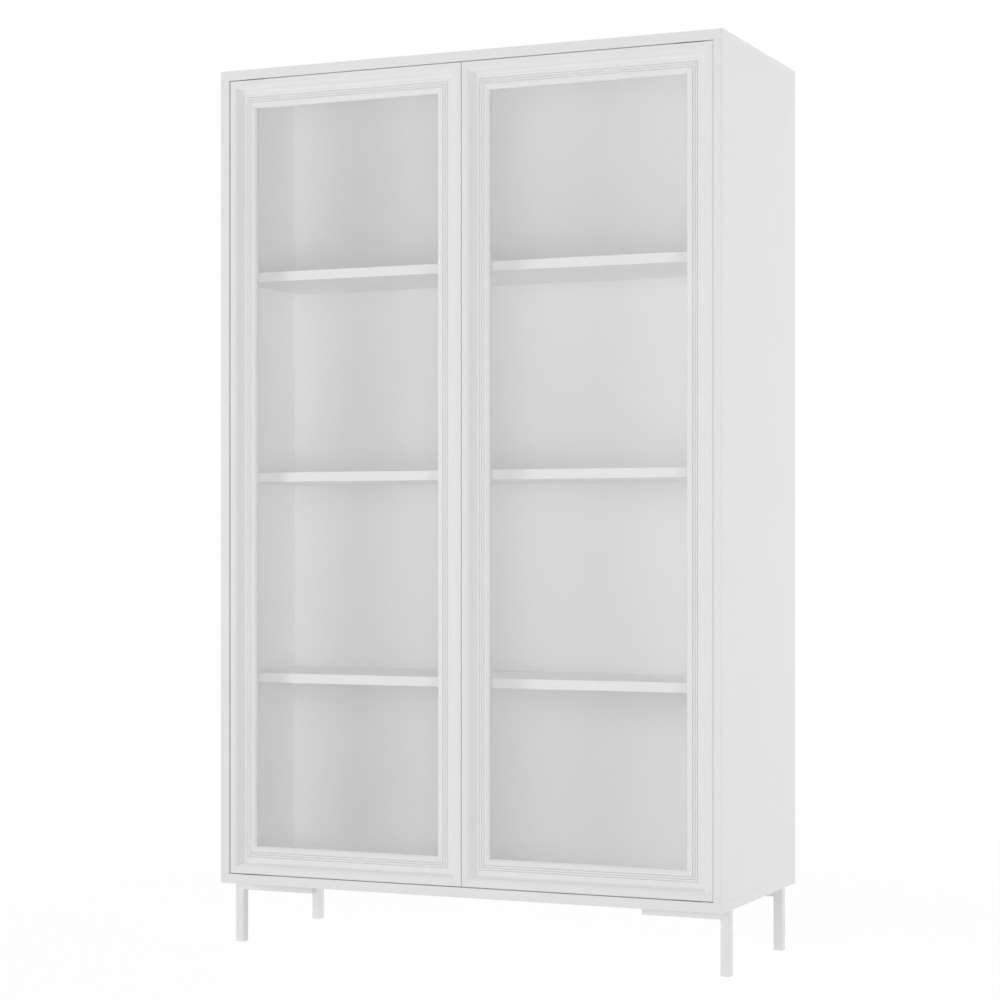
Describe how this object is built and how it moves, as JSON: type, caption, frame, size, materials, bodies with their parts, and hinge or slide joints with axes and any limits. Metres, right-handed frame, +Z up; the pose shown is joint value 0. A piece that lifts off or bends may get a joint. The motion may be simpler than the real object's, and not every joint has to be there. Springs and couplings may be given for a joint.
{
  "type": "bookcase with glass doors",
  "caption": "Tall white bookcase with inset framed glass doors on hidden pivots, full-width shelves, push latches and slim steel corner legs.",
  "frame": {"origin": "on the floor, under the middle of the carcass", "axes": "+X right as seen from the front, +Y to the back, +Z up"},
  "size_m": [1, 0.43, 1.655],
  "materials": {
    "white_board": "matt white foil on chipboard",
    "white_back_board": "matt white lacquered fibreboard",
    "white_door_moulding": "satin white foil on fibreboard moulding",
    "clear_glass": "clear float glass",
    "white_steel": "fine white powder coat",
    "white_plastic": "matt moulded",
    "grey_plastic": "matt moulded",
    "zinc_plated_steel": "bright zinc plated",
    "zinc_casting": "as cast",
    "brass": "turned",
    "beech": "bare"
  },
  "bodies": {
    "carcass": {"back_panel": "white_back_board", "bottom_panel": "white_board", "cam_bolts": "zinc_plated_steel", "cam_covers": "white_plastic", "cam_locks": "zinc_casting", "dowels": "beech", "front_left_glide": "white_plastic", "front_left_leg": "white_steel", "front_right_glide": "white_plastic", "front_right_leg": "white_steel", "hinge_screws": "zinc_plated_steel", "hinge_washers": "brass", "latch_screws": "zinc_plated_steel", "left_latch_housing": "white_plastic", "left_latch_spring": "zinc_plated_steel", "left_lower_pivot_leaf": "zinc_plated_steel", "left_side_panel": "white_board", "left_upper_pivot_leaf": "zinc_plated_steel", "leg_end_caps": "white_plastic", "leg_screws": "zinc_plated_steel", "lower_shelf": "white_board", "middle_shelf": "white_board", "rear_left_glide": "white_plastic", "rear_left_leg": "white_steel", "rear_right_glide": "white_plastic", "rear_right_leg": "white_steel", "right_latch_housing": "white_plastic", "right_latch_spring": "zinc_plated_steel", "right_lower_pivot_leaf": "zinc_plated_steel", "right_side_panel": "white_board", "right_upper_pivot_leaf": "zinc_plated_steel", "shelf_dowels": "beech", "top_panel": "white_board", "upper_shelf": "white_board"},
    "left_door": {"left_door_bead_pins": "zinc_plated_steel", "left_door_bottom_rail": "white_door_moulding", "left_door_corner_biscuits": "beech", "left_door_glass": "clear_glass", "left_door_glazing_beads": "white_door_moulding", "left_door_hinge_stile": "white_door_moulding", "left_door_lock_stile": "white_door_moulding", "left_door_lower_leaf": "zinc_plated_steel", "left_door_screws": "zinc_plated_steel", "left_door_strike_plate": "zinc_plated_steel", "left_door_top_rail": "white_door_moulding", "left_door_upper_leaf": "zinc_plated_steel"},
    "right_door": {"right_door_bead_pins": "zinc_plated_steel", "right_door_bottom_rail": "white_door_moulding", "right_door_corner_biscuits": "beech", "right_door_glass": "clear_glass", "right_door_glazing_beads": "white_door_moulding", "right_door_hinge_stile": "white_door_moulding", "right_door_lock_stile": "white_door_moulding", "right_door_lower_leaf": "zinc_plated_steel", "right_door_screws": "zinc_plated_steel", "right_door_strike_plate": "zinc_plated_steel", "right_door_top_rail": "white_door_moulding", "right_door_upper_leaf": "zinc_plated_steel"},
    "left_plunger": {"left_latch_plunger": "grey_plastic"},
    "right_plunger": {"right_latch_plunger": "grey_plastic"}
  },
  "joints": [
    {"name": "left_door_swing", "type": "hinge", "parent": "carcass", "child": "left_door", "pos_m": [-0.4605, -0.206, 0.8865], "axis": [0, 0, -1], "range_deg": [0, 110]},
    {"name": "right_door_swing", "type": "hinge", "parent": "carcass", "child": "right_door", "pos_m": [0.4605, -0.206, 0.8865], "axis": [0, 0, 1], "range_deg": [0, 110]},
    {"name": "left_plunger_push", "type": "slide", "parent": "carcass", "child": "left_plunger", "axis": [0, 1, 0], "range_m": [0, 0.003], "stiffness_N_per_m": 500, "springref_m": -0.004, "deforming": ["left_latch_spring"]},
    {"name": "right_plunger_push", "type": "slide", "parent": "carcass", "child": "right_plunger", "axis": [0, 1, 0], "range_m": [0, 0.003], "stiffness_N_per_m": 500, "springref_m": -0.004, "deforming": ["right_latch_spring"]}
  ]
}
